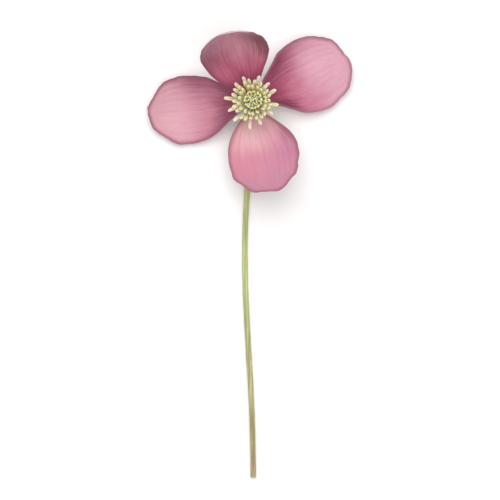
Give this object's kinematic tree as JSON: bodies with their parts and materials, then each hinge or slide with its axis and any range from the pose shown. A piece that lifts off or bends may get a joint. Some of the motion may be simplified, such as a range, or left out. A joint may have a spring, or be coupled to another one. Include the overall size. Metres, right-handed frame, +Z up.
{
  "type": "clematis flower",
  "caption": "Pink mountain clematis flower, cut with its long thin stalk and lying face up: broad cupped sepals in a cross round a tuft of stamens and silky styles.",
  "frame": {"origin": "middle of the flower and stalk's outline, on the surface that it lies on", "axes": "+Z up off the surface, +Y from the cut end of the stalk towards the flower, +X to the right seen from above"},
  "size_m": [0.0421, 0.09, 0.0208],
  "materials": {
    "stalk": "satin, finely hairy green stalk, reddish towards the cut end",
    "sepal": "soft silky pink petal tissue with darker veins, rims and base",
    "stamen": "matt cream filaments with pale yellow anthers",
    "style": "matt yellow-green styles with silky hairs"
  },
  "bodies": {
    "root": {"pedicel": "stalk", "sepal_top": "sepal", "sepal_right": "sepal", "sepal_bottom": "sepal", "sepal_left": "sepal", "stamens": "stamen", "pistils": "style"}
  },
  "joints": []
}
